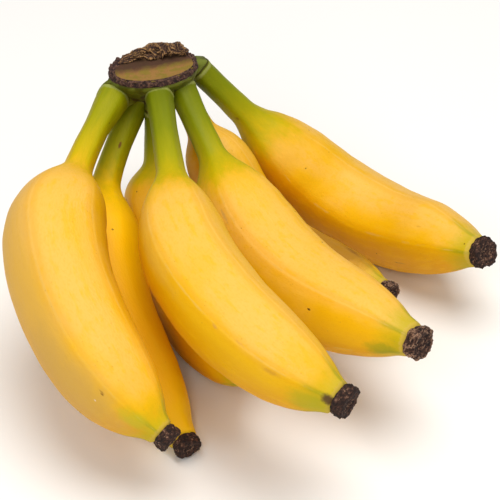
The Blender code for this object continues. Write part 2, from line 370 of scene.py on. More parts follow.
# %% A finished piece
def finished(name, bm, finish, slot, *nodes):
    mesh = bpy.data.meshes.new(name)
    bm.to_mesh(mesh)
    bm.free()
    mesh.shade_smooth()
    obj = bpy.data.objects.new(name, mesh)
    bpy.context.scene.collection.objects.link(obj)
    mesh.materials.append(finish.material)
    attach(obj, "root")
    if nodes:
        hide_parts(*nodes)
    print(name, "has", len(mesh.polygons), "faces")
    return obj


# %% [markdown]
# No two fruits are quite alike. Some stalks widen where they meet the crown, and two fruits have a
# slight swelling or hollow on one side, which shows in their outline.

# %% Flares and swellings
FLARES = {"banana_1": 0.28, "banana_2": 0.12, "banana_3": 0.06, "banana_4": 0.12}  # shares of the radius
SLIGHT_FLARE = 0.03  # of all the other stalks
FLARE_REACH = 17.0
# share of the length, angle in degrees, reach as a share of the length, height in mm
SWELLINGS = {"banana_1": ((0.38, 100, 0.10, 1.0), (0.70, 108, 0.09, -1.2)),
             "banana_5": ((0.84, -62, 0.07, 1.3),)}


def flare(name, distance):
    near = min(max(1 - distance / FLARE_REACH, 0), 1)
    return 1 + FLARES.get(name, SLIGHT_FLARE) * near * near * (3 - 2 * near)


def swelling(name, share, angle):
    height = 0
    for middle, way, reach, rise in SWELLINGS.get(name, ()):
        facing = max(math.cos(angle - math.radians(way)), 0) ** 2
        height += rise * facing * math.exp(-((share - middle) / reach) ** 2)
    return height


print("the foot of banana_1 is", round(flare("banana_1", 0), 2), "times as wide as its stalk")

# %% [markdown]
# Three things are kept on the points while the tube is bent, because the finish needs them. The straight
# place lets grain and marks follow the fruit however it bends. The nearness to a ridge places the scuffs.
# How far the skin faces up places the painted highlight on top and the painted shade on the sides.

# %% The skin of one fruit
LEDGE_RISE, LEDGE_MIDDLE, LEDGE_HALF = 0.3, 1.3, 0.7  # mm: a low ring where the stalk leaves the crown
LEDGES = {name: 0.0 for name in FRUITS} | {"banana_2": -2.2}  # mm along the stalk where the crown ends
LOWEST = 0.05  # mm over the table


def skin(name, number, finish):
    fruit, path = FRUITS[name], PATHS[name]
    bm = straight_tube(SKIN_SIDES, SKIN_RINGS)
    straight = bm.verts.layers.float_vector.new("straight")
    ridge = bm.verts.layers.float.new("ridge")
    upper = bm.verts.layers.float.new("upper")
    length, turn = fruit["length"], math.radians(fruit["turn"])
    hidden = LEDGES[name] - INTO_CROWN
    for vertex in bm.verts:
        distance = hidden + (vertex.co.z + 0.5) * (length - hidden)
        share = min(max(distance / length, 0), 1)
        angle = math.atan2(vertex.co.y, vertex.co.x)
        radius = radius_at(name, share)
        slim = 1 - min(radius / fruit["girth"], 1)
        drawn = 0.06 + 0.02 * slim
        grown = 1 - drawn * 0.45 + drawn * ridge_nearness(angle) * 0.95
        # broad lumps on the body, fine ones everywhere
        at = Vector((math.cos(angle) * 9, math.sin(angle) * 9, distance)) + Vector((0, 0, 500 * number))
        lumps = noise.noise(at / 14) * 0.35 * (1 - slim) + noise.noise(at / 5) * 0.09
        radius = (radius * grown + lumps) * lip(fruit, distance) * flare(name, distance)
        past_ledge = (distance - LEDGES[name] - LEDGE_MIDDLE) / LEDGE_HALF
        radius += LEDGE_RISE * math.exp(-past_ledge ** 2) + swelling(name, share, angle)
        point, normal, _ = path.at(distance)
        f = min(max((share - fruit["stalk"] + 0.02) / (fruit["swell"] + 0.02), 0), 1)
        point = point - normal * fruit["lean"] * f * f * (3 - 2 * f)
        out = normal * math.cos(angle + turn) + path.side * math.sin(angle + turn)
        place = point + out * radius
        place[2] = max(place[2], LOWEST)
        vertex[straight] = (radius * math.cos(angle), radius * math.sin(angle), distance)
        vertex[ridge] = 1 - abs(math.sin(2.5 * angle))
        vertex.co = place * MM
    bmesh.ops.holes_fill(bm, edges=[e for e in bm.edges if e.is_boundary])
    bmesh.ops.recalc_face_normals(bm, faces=bm.faces)
    bm.normal_update()
    # how far each point faces up, which later places the painted highlight and the painted shade
    for vertex in bm.verts:
        vertex[upper] = vertex.normal.z
    return finished(name + "_skin", bm, finish, "banana_skin", name)


# %% [markdown]
# ## The finish of the skin
# Near the crown the skin is green, and it turns through olive to yellow where the stalk opens into the
# body. The neck is green again, with a pale corky line before the blossom end. The body is never one
# yellow: painted shade makes it golden on the sides and a painted highlight paler on top, soft clouds
# lie along it, the ridges carry thin corky scuffs, and a few dark specks are scattered over it. It is
# built in steps, each one laid on the last.

# %% Colours of the skin, and where each fruit turns yellow
GREENS = ((0.0, seen(108, 120, 0)), (0.35, seen(134, 142, 0)), (0.6, seen(168, 164, 0)),
          (0.8, seen(206, 182, 0)), (1.0, seen(240, 188, 0)))
YELLOW = seen(252, 194, 6)
DEEP_YELLOW = seen(240, 172, 0)
PALE_YELLOW = seen(255, 200, 88)
LEDGE_HIGHLIGHT = seen(160, 166, 90)
CREASE_SHADE = seen(58, 48, 20)
NECK_GREEN = seen(186, 180, 20)
NECK_RIDGE_GREEN = seen(150, 156, 14)
CORK = seen(232, 190, 106)
CORK_DARK = seen(176, 124, 52)
SPECK = seen(92, 52, 14)
BRUISE = seen(120, 70, 24)
TAN_SIDE = seen(234, 186, 104)
PINK_TAN = seen(212, 148, 88)
PAINTED_FILL_YELLOW = (1.0, 0.56, 0.0, 1.0)  # painted light: a yellow that lifts the shaded fruit between two others
PAINTED_SHADOW_OLIVE = seen(148, 98, 20)
# banana_2's stalk is paler partly in its own colour and partly as painted light that lifts its shade
EARLY = {"banana_1": 0.42, "banana_2": 0.32, "banana_5": 0.14}  # stalks that are paler from the crown on
NECK = 17.0  # mm of the neck that turn green
TURNS_YELLOW = {"banana_1": 0.30, "banana_2": 0.34, "banana_3": 0.36, "banana_4": 0.31, "banana_5": 0.29,
                "banana_6": 0.22, "banana_7": 0.12}


# %% [markdown]
# All the steps read the same few patterns: the place on the straight tube, the ridges, how far up the
# skin faces, and four noises from broad clouds down to fine grain. The streaks are one noise, drawn out
# ten times along the fruit. Seven fruits need seven different patterns, so each reads the noises 400 mm
# further on.

# %% The patterns of a skin
def skin_patterns(finish, name):
    straight = finish.vector("straight")
    at = straight + (0.0, 0.0, 400.0 * int(name[-1]))
    return SimpleNamespace(
        name=name, length=FRUITS[name]["length"], straight=straight, at=at,
        along=finish.add("ShaderNodeSeparateXYZ", {}, {0: straight}, out="Z"),
        ridge=finish.number("ridge"),
        upper=finish.number("upper"),
        clouds=finish.noise(at * (1.0, 1.0, 0.45), 0.075, 4.0),
        streaks=finish.noise(at * (1.0, 1.0, 0.10), 0.55, 4.0, 0.6),
        mottle=finish.noise(at * (1.0, 1.0, 0.6), 0.42, 5.0, 0.6),
        fine=finish.noise(at * (1.0, 1.0, 0.5), 1.9, 3.0))


# %% [markdown]
# The body comes first: painted shade makes the sides golden and a painted highlight makes the top
# paler, with golden bands beside each ridge.

# %% The yellow of the body
def body_colour(finish, p):
    # painted shade on the downward sides, then a painted highlight on top, both placed by how far the skin
    # faces up
    colour = finish.mix((p.upper + (p.clouds - 0.5)).between(-0.35, 0.45), DEEP_YELLOW, YELLOW)
    colour = finish.mix((p.upper + (p.clouds - 0.5) * 1.3).between(0.4, 1.0) * 0.95, colour, PALE_YELLOW)
    colour = finish.mix((p.mottle * 0.5 + p.streaks * 0.5).between(0.48, 0.62) * 0.55, colour, YELLOW)
    colour = finish.mix(p.fine.between(0.46, 0.7) * 0.2, colour, DEEP_YELLOW)
    beside = p.ridge.between(0.5, 0.82) * p.ridge.between(0.97, 0.9)
    return finish.mix(beside * 0.3, colour, DEEP_YELLOW)


# %% [markdown]
# The share of the way from green to yellow grows along the stalk. The streaks make its edge uneven, and
# the ridges stay green a little longer. The scuffs lie on the ridges, where fruits rub, and only on the
# yellow.

# %% Green at both ends, and the scuffs
def add_greens(finish, p, body):
    early = EARLY.get(p.name, 0.0)
    rise = (1 - early) / (TURNS_YELLOW[p.name] * p.length)
    p.turned = p.along * rise + (p.streaks - 0.5) * 0.26 - p.ridge * 0.06 + early
    colour = finish.mix(p.turned.between(0.84, 1.14), finish.ramp(p.turned, GREENS), body)
    neck = (p.along - (p.length - NECK)) / NECK + (p.clouds - 0.5) * 0.6 + (p.streaks - 0.5) * 0.3
    colour = finish.mix(neck.between(0.3, 1.0) * 0.75, colour, NECK_GREEN)
    neck_ridges = neck.between(0.2, 0.9) * p.ridge.between(0.6, 0.95)
    colour = finish.mix(neck_ridges * 0.6, colour, NECK_RIDGE_GREEN)
    broken = (p.streaks * 0.6 + p.mottle * 0.4).between(0.48, 0.58)
    p.scuffed = p.ridge.between(0.88, 0.98) * broken * p.turned.between(0.85, 1.2)
    return finish.mix(p.scuffed * 0.38, colour, CORK)


# %% [markdown]
# Where the stalk leaves the crown there is a low ledge with a painted highlight on it and painted shade
# in the crease behind it. The end of the neck has a corky collar. Specks are seldom: cells give each one
# a place, and a cell's own random colour decides whether it gets one.

# %% The ledge, the collar and the specks
def add_small_things(finish, p, colour):
    below = p.along - LEDGES[p.name] + (p.fine - 0.5) * 0.8
    # a painted highlight on the ledge, then painted shade in the crease behind it
    colour = finish.mix(below.between(2.4, 1.6) * below.between(0.6, 1.0) * 0.8, colour, LEDGE_HIGHLIGHT)
    colour = finish.mix(below.between(0.9, 0.3) * 0.85, colour, CREASE_SHADE)
    p.collar = (p.along + (p.fine - 0.5) * 1.8).between(p.length - 1.9, p.length - 1.1)
    colour = finish.mix(p.collar * 0.35, colour, CORK)
    dots = finish.cells(p.at, 0.16)
    wanted = finish.add("ShaderNodeSeparateColor", {}, {0: finish.cells(p.at, 0.16, out="Color")})
    p.specks = dots.between(0.055, 0.03) * wanted.between(0.66, 0.7)
    colour = finish.mix(p.specks * 0.7, colour, SPECK)
    tiny = finish.cells(p.at, 0.6).between(0.16, 0.08) * p.mottle.between(0.48, 0.6)
    return finish.mix(tiny * 0.3, colour, CORK_DARK)


# %% [markdown]
# A mark is a rough oval on the straight place, so it needs only a share of the length and an angle. The
# whole finish is then the steps in their order, with a waxy shine that is duller on the green and the
# cork.

# %% One mark, and the whole finish
def mark(finish, p, share, angle, half_long, half_wide, soft):
    """A mask that is 1 in a rough oval spot at a share of the length and an angle from the first ridge."""
    radius, a = radius_at(p.name, share), math.radians(angle)
    middle = (radius * math.cos(a), radius * math.sin(a), share * p.length)
    away = ((p.straight - middle) * (1 / half_wide, 1 / half_wide, 1 / half_long)).length()
    wobble = (finish.noise(p.straight, 0.6 / half_wide, 5.0, 0.65) - 0.5) * 1.6
    return (away + wobble).between(1.0 + soft, 1.0 - soft)


def skin_finish(name, marks):
    finish = Finish(name + "_skin", specular=0.15)
    p = skin_patterns(finish, name)
    colour = add_small_things(finish, p, add_greens(finish, p, body_colour(finish, p)))
    for *where, tone, strength in marks:
        colour = finish.mix(mark(finish, p, *where) * strength, colour, tone)
    finish.colour(colour)
    dull = p.turned.between(1.1, 0.8) * 0.06 + p.scuffed * 0.2 + p.collar * 0.25 + p.specks * 0.3
    finish.roughness(0.48 + dull + (p.fine - 0.5) * 0.2)
    finish.relief(p.streaks * 0.5 + p.fine * 0.4 + p.mottle * 0.6 - p.specks * 0.5, 0.2)
    return finish


# %% [markdown]
# Each fruit has its own few marks: a share of the length, an angle from the first ridge, half the length
# and half the width in mm, how soft the edge is, a colour and a strength. The large ones tint a side or
# a neck, except three: a painted fill on banana_2, and on banana_7 a painted shadow and a pale patch of
# painted light. The small ones are bruises, scratches and specks.

# %% The marks of each fruit
MARKS = {
    "banana_1": ((0.62, 106, 46, 11.0, 0.5, TAN_SIDE, 0.5),
                 (0.83, 112, 20, 8.0, 0.5, seen(206, 164, 84), 0.4),
                 (0.945, 82, 12, 2.4, 0.5, seen(206, 196, 40), 0.6),
                 (0.862, 80, 1.1, 0.3, 0.6, BRUISE, 0.5),
                 (0.868, 82, 0.6, 0.3, 0.5, BRUISE, 0.7),
                 (0.866, 97, 0.4, 0.35, 0.3, seen(250, 236, 210), 0.9),
                 (0.683, 25, 0.3, 0.25, 0.3, SPECK, 0.7),
                 (0.593, 25, 0.3, 0.25, 0.3, SPECK, 0.6)),
    # painted fill light: a yellow brighter than any lit colour, over this shaded fruit
    "banana_2": ((0.66, 0, 60, 24.0, 0.25, PAINTED_FILL_YELLOW, 0.9),
                 (0.125, 16, 1.2, 0.42, 0.4, BRUISE, 0.9),
                 (0.397, 11, 0.4, 0.35, 0.3, SPECK, 0.8),
                 (0.495, -25, 0.35, 0.3, 0.3, SPECK, 0.6)),
    "banana_3": ((0.50, 84, 16, 3.2, 0.6, CORK, 0.25),
                 (0.732, 74, 1.0, 0.5, 0.6, PINK_TAN, 0.45),
                 (0.788, 70, 2.0, 0.5, 0.6, PINK_TAN, 0.45),
                 (0.871, 78, 3.0, 0.7, 0.8, seen(196, 134, 56), 0.45),
                 (0.955, 104, 7, 3.4, 0.5, NECK_GREEN, 0.6),
                 (0.992, 80, 2.6, 1.5, 0.4, seen(84, 54, 42), 0.9)),
    "banana_4": ((0.411, 7, 4.0, 0.5, 0.7, seen(196, 160, 100), 0.5),
                 (0.76, 25, 0.6, 0.4, 0.3, SPECK, 0.95),
                 (0.945, 62, 6, 2.2, 0.5, NECK_RIDGE_GREEN, 0.6)),
    "banana_5": ((0.162, 16, 0.6, 0.5, 0.5, BRUISE, 0.6),
                 (0.301, -20, 7, 4.5, 0.6, PALE_YELLOW, 0.5),
                 (0.781, 43, 0.8, 0.35, 0.6, BRUISE, 0.7),
                 (0.80, 43, 2.4, 0.4, 0.7, CORK_DARK, 0.5),
                 (0.85, -30, 1.6, 0.4, 0.6, BRUISE, 0.6)),
    "banana_6": (),
    # the first is painted shadow in olive brown where the fruit beside it shades this one; the last is
    # painted light that lifts the shade between two stalks
    "banana_7": ((0.80, -80, 17, 8.0, 0.4, PAINTED_SHADOW_OLIVE, 0.75),
                 (0.119, -97, 0.5, 0.4, 0.4, SPECK, 0.7),
                 (0.86, -80, 4.0, 1.0, 0.8, BRUISE, 0.6),
                 (0.30, 45, 11, 6.0, 0.6, seen(255, 216, 140), 0.7)),
}
for number, name in enumerate(FRUITS, 1):
    skin(name, number, skin_finish(name, MARKS[name]))

# %% [markdown]
# ## Everything that is dried
# The blossom ends, the rim and the torn fibres dried in the same way, and all of them get painted shade
# in their pits and a painted highlight on their crests. A shader can't tell whether a point lies in a pit,
# so each rough mesh keeps that on its points. One finish then serves all the dried pieces, with other
# colours for each.

# %% Pits and crests
def hollowness(bm, passes=2):
    """Keeps on each point how low it lies: below 0.5 on a crest, and above 0.5 in a pit."""
    layer = bm.verts.layers.float.new("hollow")
    bm.normal_update()
    for vertex in bm.verts:
        near = [e.other_vert(vertex).co for e in vertex.link_edges]
        step = sum((co - vertex.co for co in near), Vector()) / len(near)
        size = sum((co - vertex.co).length for co in near) / len(near)
        vertex[layer] = 0.5 + 2.0 * step.dot(vertex.normal) / max(size, 1e-9)
    for _ in range(passes):
        round_it = {v: sum(e.other_vert(v)[layer] for e in v.link_edges) / len(v.link_edges)
                    for v in bm.verts}
        for vertex, value in round_it.items():
            vertex[layer] = (vertex[layer] + value) / 2


# %% The dried finish
DRY_DARK = seen(34, 22, 20)
DRY_BROWN = seen(92, 62, 50)
DRY_CREST_HIGHLIGHT = seen(172, 134, 108)


def dry_finish(name, dark, brown, pale):
    finish = Finish(name, roughness=0.85, specular=0.3)
    at = finish.place()
    hollow = finish.number("hollow")
    crumbs = finish.noise(at, 1.1, 6.0, 0.65)
    grit = finish.noise(at, 2.6, 3.0, 0.6)
    colour = finish.mix(crumbs.between(0.4, 0.58), dark, brown)
    # a painted highlight on the crests, broken up by the crumbs and the grit
    crests = (crumbs * 0.6 - hollow).between(-0.18, 0.02) * grit.between(0.4, 0.56)
    colour = finish.mix(crests * 0.85, colour, pale)
    colour = finish.mix(grit.between(0.5, 0.36) * 0.6, colour, dark)
    # painted shade in the pits
    colour = finish.mix(hollow.between(0.5, 0.75) * 0.8, colour, dark)
    finish.colour(colour)
    finish.roughness(0.72 + crumbs * 0.3)
    finish.relief(crumbs, 0.25)
    return finish


# %% [markdown]
# ## The blossom ends
# Where the flower fell off, a short dark plug stays: dry, crumbling, a little hollow at its end. A ball
# has points all round and at its pole, so it is the easiest start: its latitudes become the side, the
# ragged edge and the hollow, and noise breaks the surface into crumbs. The outline gives, from the pole
# that faces the fruit to the outer one, the share of the latitude, the width and the reach.

# %% The blossom end
CAP_LENGTH = 3.8
CAP_OUTLINE = ((0.0, 0.0, 0.0), (0.10, 0.80, -0.9), (0.2, 0.92, -0.4), (0.32, 0.99, 1.2), (0.5, 1.02, 2.8),
               (0.62, 0.97, 4.3), (0.7, 0.82, 4.9), (0.78, 0.6, 4.5), (0.88, 0.36, 3.9), (1.0, 0.0, 3.7))


def blossom_end(number, fruit, path, finish):
    bm = bmesh.new()
    bmesh.ops.create_uvsphere(bm, u_segments=56, v_segments=44, radius=1)
    shares, widths, reaches = zip(*CAP_OUTLINE)
    end, normal, way = path.at(fruit["length"])
    end = end - normal * fruit["lean"]
    for vertex in bm.verts:
        share = 1 - math.acos(max(min(vertex.co.z, 1), -1)) / math.pi
        angle = math.atan2(vertex.co.y, vertex.co.x)
        width = float(np.interp(share, shares, widths))
        reach = float(np.interp(share, shares, reaches)) * CAP_LENGTH / max(reaches)
        at = Vector((math.cos(angle) * width, math.sin(angle) * width, share * 2)) * 3
        rough = noise.fractal((at + Vector((0, 0, 40 * number))) * 0.8, 0.7, 2.2, 4)
        lobes = math.sin(5 * angle + number) * 0.04 + math.sin(3 * angle + 2 * number) * 0.04
        width *= 1 + lobes + 0.13 * rough * min(share * 4, 1)
        reach += 1.1 * rough * max(share - 0.35, 0)
        out = normal * math.cos(angle) + path.side * math.sin(angle)
        place = end + way * reach + out * width * fruit["neck"] * (1 - END_DRAW)
        place[2] = max(place[2], LOWEST)
        vertex.co = place * MM
    bmesh.ops.recalc_face_normals(bm, faces=bm.faces)
    hollowness(bm)
    name = "blossom_end_%d" % number
    return finished(name + "_crumbly", bm, finish, "blossom_end", name)


cap_finish = dry_finish("dry_blossom_end", DRY_DARK, DRY_BROWN, DRY_CREST_HIGHLIGHT)
for number, name in enumerate(FRUITS, 1):
    blossom_end(number, FRUITS[name], PATHS[name], cap_finish)

# %% [markdown]
# ## The crown
# All the stalks melt into one green cushion. A pad and seven short stubs are made as separate closed
# shapes that run into each other, and a voxel remesh turns them into one skin. Smoothing that skin
# leaves soft valleys between the stalks, which is how the real cushion looks.

# %% The numbers of the crown
CROWN_MIDDLE = np.array((0.3, 2.2, 0.0)) + MOVE
CROWN_TURN = math.radians(17)
CROWN_LONG, CROWN_SHORT = 15.4, 10.5
FACE_LONG, FACE_SHORT, FACE_SHIFT = 13.5, 7.3, -1.5
FACE_Z = 76.9
# height, shares of the long and the short half, shift to the back: the pad recedes below in front
PAD_LEVELS = ((61.8, 0.45, 0.28, 3.6), (63.0, 0.62, 0.42, 3.3), (65.3, 0.80, 0.60, 2.6),
              (68.5, 0.92, 0.78, 1.4), (71.5, 0.98, 0.93, 0.5), (74.0, 1.0, 1.0, 0.0),
              (75.2, 0.95, 0.95, 0.0))
# place along the stalk and radius, in mm: a stub starts inside the pad and ends under the skin's ledge
STUB_OUTLINE = ((-12.0, 3.0), (-7.5, 4.2), (-4.0, 4.75), (-0.6, 4.8), (0.0, 4.65), (0.4, 4.0))


def oval_place(along, across, z):
    """A place on the crown, from distances along and across its long axis."""
    return CROWN_MIDDLE + np.array((along * math.cos(CROWN_TURN) - across * math.sin(CROWN_TURN),
                                    along * math.sin(CROWN_TURN) + across * math.cos(CROWN_TURN), z))


print("the crown is", 2 * CROWN_LONG, "by", 2 * CROWN_SHORT, "mm")

# %% [markdown]
# The pad and the stubs start as the straight tube of the skins once more, closed at both ends. Its rings
# move to the levels of the pad, or to the path of a stalk.

# %% Closed tubes for the pad and the stubs
def closed_tube(sides, rings, move):
    """A straight tube, closed at both ends, with every point moved by move(angle, share)."""
    bm = straight_tube(sides, rings)
    for vertex in bm.verts:
        vertex.co = Vector(move(math.atan2(vertex.co.y, vertex.co.x), vertex.co.z + 0.5)) * MM
    bmesh.ops.holes_fill(bm, edges=[e for e in bm.edges if e.is_boundary])
    bmesh.ops.recalc_face_normals(bm, faces=bm.faces)
    mesh = bpy.data.meshes.new("lump")
    bm.to_mesh(mesh)
    bm.free()
    return mesh


def gathered(lumps):
    """One bmesh that holds all these meshes, which are then done with."""
    bm = bmesh.new()
    for lump in lumps:
        bm.from_mesh(lump)
        bpy.data.meshes.remove(lump)
    return bm


# %% Where the points of the pad and of a stub go
def pad_place(angle, share):
    levels = np.linspace(0, 1, len(PAD_LEVELS))
    z, long_part, short_part, back = (float(np.interp(share, levels, part)) for part in zip(*PAD_LEVELS))
    return oval_place(CROWN_LONG * long_part * math.cos(angle),
                      CROWN_SHORT * short_part * math.sin(angle) + back, z)


def stub_place(name):
    fruit, path, ledge = FRUITS[name], PATHS[name], LEDGES[name]
    shares = np.linspace(0, 1, len(STUB_OUTLINE))

    def place(angle, share):
        distance = float(np.interp(share, shares, [along for along, _ in STUB_OUTLINE]))
        radius = float(np.interp(share, shares, [across for _, across in STUB_OUTLINE]))
        radius *= (1 + 0.10 * (ridge_nearness(angle) - 0.5)) * flare(name, 0)
        point, normal, _ = path.at(distance + ledge)
        turned = angle + math.radians(fruit["turn"])
        return point + (normal * math.cos(turned) + path.side * math.sin(turned)) * radius
    return place


# %% [markdown]
# Two stalks that meet leave a thin crease between them with shade in it, which the smoothing would lose. So
# each point of the cushion keeps how near it is to such a line, and the finish paints that shade as a dark
# line.

# %% The creases
CREASE_HALF = 1.1  # mm


def creases(bm):
    """Keeps 1 on a point where the second nearest stalk just touches it, and 0 away from there."""
    crease = bm.verts.layers.float.new("crease")
    axes = []
    for name, path in PATHS.items():
        places = np.array([path.at(d + LEDGES[name])[0] for d in np.arange(-7, 1.1, 0.5)])
        axes.append((places, STALK_RADIUS * flare(name, 0) * 1.05))
    for vertex in bm.verts:
        at = np.array(vertex.co) / MM
        gaps = sorted(float(np.linalg.norm(places - at, axis=1).min()) - r for places, r in axes)
        vertex[crease] = min(max(1 - abs(gaps[1]) / CREASE_HALF, 0), 1)


# %% The cushion in one skin
SMOOTHINGS = 5


def cushion(finish):
    lumps = [closed_tube(48, 24, pad_place)]
    for name in FRUITS:
        lumps.append(closed_tube(40, 24, stub_place(name)))
    bm = gathered(lumps)
    mesh = bpy.data.meshes.new("crown_lumps")
    bm.to_mesh(mesh)
    bm.free()
    rough = bpy.data.objects.new("crown_lumps", mesh)
    bpy.context.scene.collection.objects.link(rough)
    joined = rough.modifiers.new("one skin", "REMESH")
    joined.mode = "VOXEL"
    joined.voxel_size = 0.45 * MM
    graph = bpy.context.evaluated_depsgraph_get()
    bm = bmesh.new()
    bm.from_mesh(rough.evaluated_get(graph).to_mesh())
    bpy.data.objects.remove(rough)
    for _ in range(SMOOTHINGS):
        bmesh.ops.smooth_vert(bm, verts=bm.verts, factor=0.5,
                              use_axis_x=True, use_axis_y=True, use_axis_z=True)
    creases(bm)
    hollowness(bm, passes=5)
    return finished("crown_cushion", bm, finish, "crown_green", "crown")


# %% [markdown]
# The cushion is a duller green than the stalks and clouded, with a painted highlight on its crests and
# painted shade in its valleys.

# %% The finish of the cushion
CROWN_GREEN = seen(96, 108, 0)
CROWN_DARK = seen(84, 88, 4)
CROWN_HIGHLIGHT = seen(128, 138, 50)


def cushion_finish():
    finish = Finish("green_crown", specular=0.3)
    at = finish.place()
    hollow = finish.number("hollow")
    clouds = finish.noise(at, 0.22, 4.0)
    fine = finish.noise(at, 1.6, 4.0)
    colour = finish.mix(clouds.between(0.35, 0.65), CROWN_DARK, CROWN_GREEN)
    # painted highlight on the crests, then painted shade in the valleys and along the creases between
    # stalks
    colour = finish.mix(hollow.between(0.49, 0.42) * clouds.between(0.4, 0.55) * 0.6, colour, CROWN_HIGHLIGHT)
    colour = finish.mix(hollow.between(0.5, 0.56) * 0.9, colour, CREASE_SHADE)
    colour = finish.mix(finish.number("crease").between(0.45, 0.9) * 0.9, colour, CREASE_SHADE)
    finish.colour(colour)
    finish.roughness(0.48 + fine * 0.2)
    finish.relief(fine + clouds, 0.2)
    return finish


cushion(cushion_finish())

# %% [markdown]
# ## The cut face, the dried rim and the torn fibres
# The knife left an oval face that dried to olive and tan. It is a little dished, and painted shadow
# darkens it towards the back, under the torn mass. Round it the skin shrank into a dark rim, and behind
# it the fibres tore into a crumpled mass. The face is an inset disc, so it has rings to dish. The rim is
# a small outline spun round once and moved onto the oval. The mass is a closed tube bent along the back
# of the rim.

# %% The cut face
FACE_TAN = seen(158, 116, 60)
FACE_OLIVE = seen(138, 116, 42)
FACE_DARK = seen(66, 40, 34)
FACE_RINGS, RING_WIDTH = 14, 0.065
UNDER_RIM = 0.9  # mm of the face that reach under the rim
DISH = 0.5  # mm


def cut_face(finish):
    bm = bmesh.new()
    bmesh.ops.create_circle(bm, cap_ends=True, segments=72, radius=1)
    for _ in range(FACE_RINGS):
        middle = max(bm.faces, key=lambda f: len(f.verts))
        bmesh.ops.inset_region(bm, faces=[middle], thickness=RING_WIDTH, use_even_offset=True,
                               use_boundary=True)
    reach = bm.verts.layers.float.new("reach")
    behind = bm.verts.layers.float.new("behind")
    for vertex in bm.verts:
        r = min(vertex.co.length, 1.0)
        angle = math.atan2(vertex.co.y, vertex.co.x)
        along = (FACE_LONG + UNDER_RIM) * r * math.cos(angle)
        across = FACE_SHIFT + (FACE_SHORT + UNDER_RIM) * r * math.sin(angle)
        rough = 0.22 * noise.fractal(Vector((along, across, 0)) / 2.2, 0.8, 2.0, 4)
        z = FACE_Z - DISH * (1 - r ** 3) + rough - 0.5 * max(r - 0.93, 0) / 0.07
        vertex[reach] = r
        vertex[behind] = r * math.sin(angle)
        vertex.co = Vector(oval_place(along, across, z)) * MM
    bmesh.ops.recalc_face_normals(bm, faces=bm.faces)
    return finished("cut_face", bm, finish, "crown_green")


# %% The finish of the cut face
def face_finish():
    finish = Finish("dried_cut", specular=0.3)
    at = finish.place()
    reach = finish.number("reach")
    clouds = finish.noise(at, 0.3, 5.0, 0.6)
    grain = finish.noise(at, 2.4, 5.0, 0.65)
    colour = finish.mix(clouds.between(0.4, 0.6), FACE_OLIVE, FACE_TAN)
    behind = finish.number("behind")
    # painted shadow of the torn mass, darkest towards the back of the face
    colour = finish.mix((behind + (clouds - 0.5) * 0.5).between(-0.25, 0.35) * 0.9, colour, FACE_DARK)
    colour = finish.mix(grain.between(0.56, 0.7) * 0.4, colour, FACE_DARK)
    colour = finish.mix(reach.between(0.93, 1.0) * 0.8, colour, DRY_DARK)
    finish.colour(colour)
    finish.roughness(0.75 + grain * 0.2)
    finish.relief(grain * 0.5 + clouds, 0.15)
    return finish


cut_face(face_finish())


# %% [markdown]
# The outline of the rim is given across, from 0 on its inner edge to 1 on its outer edge, and in height.

# %% The dried rim
RIM_OUTLINE = ((0.0, -1.4), (0.0, -0.2), (0.12, 0.1), (0.35, 0.0), (0.7, -0.5), (0.96, -1.2), (1.03, -1.8),
               (0.95, -2.1), (0.5, -2.1))


def rim_finish():
    return dry_finish("dried_rim", seen(40, 26, 26), seen(78, 52, 46), seen(120, 88, 72))


def dried_rim(finish):
    """An outline spun round a circle and moved onto the crown's oval: low in front, rough behind."""
    bm = bmesh.new()
    points = [bm.verts.new((2 + across, 0, z)) for across, z in RIM_OUTLINE]
    edges = [bm.edges.new((a, b)) for a, b in zip(points, points[1:] + points[:1])]
    bmesh.ops.spin(bm, geom=points + edges, cent=(0, 0, 0), axis=(0, 0, 1), angle=2 * math.pi, steps=220,
                   use_merge=True)
    ends = {e: (e.verts[0].co, e.verts[1].co) for e in bm.edges}
    crossing = [e for e, (a, b) in ends.items() if abs(a.length - b.length) > 0.01 or abs(a.z - b.z) > 0.05]
    bmesh.ops.subdivide_edges(bm, edges=crossing, cuts=1)
    for vertex in bm.verts:
        angle = math.atan2(vertex.co.y, vertex.co.x)
        share = math.hypot(vertex.co.x, vertex.co.y) - 2
        back = max(math.sin(angle), 0)
        at = Vector((math.cos(angle) * 5, math.sin(angle) * 5, vertex.co.z * 0.9 + share * 3))
        rough = noise.fractal(at * 1.3, 0.8, 2.1, 4)
        long_half = FACE_LONG + (CROWN_LONG - FACE_LONG) * share
        short_half = FACE_SHORT + (CROWN_SHORT - FACE_SHORT) * share
        along = (long_half + 0.45 * rough) * math.cos(angle)
        across = FACE_SHIFT * (1 - share) + (short_half + 0.45 * rough) * math.sin(angle)
        z = FACE_Z + vertex.co.z + (0.25 + 0.8 * back) * rough + 1.2 * back * share
        vertex.co = Vector(oval_place(along, across, z)) * MM
    bmesh.ops.remove_doubles(bm, verts=bm.verts, dist=1e-6)
    bmesh.ops.recalc_face_normals(bm, faces=bm.faces)
    hollowness(bm)
    return finished("dried_rim", bm, finish, "dried_fibre", "crown_fibres")


dried_rim(rim_finish())


# %% [markdown]
# The torn mass lies along the back of the rim, from the right to the left. Four noises shape it: lumps
# make it thick and thin, folds run through it, a fine crumple roughens it, and narrow pits cut into it.

# %% The torn mass
MASS_FROM, MASS_TO = math.radians(22), math.radians(146)
MASS_OUT, MASS_UP = 2.5, 1.5  # mm: half its width and half its height


def rim_place(turn, share, z):
    """A place over the rim: share 0 on its inner edge and 1 on its outer edge."""
    along = (FACE_LONG + (CROWN_LONG - FACE_LONG) * share) * math.cos(turn)
    across = FACE_SHIFT * (1 - share) + (FACE_SHORT + (CROWN_SHORT - FACE_SHORT) * share) * math.sin(turn)
    return oval_place(along, across, z)


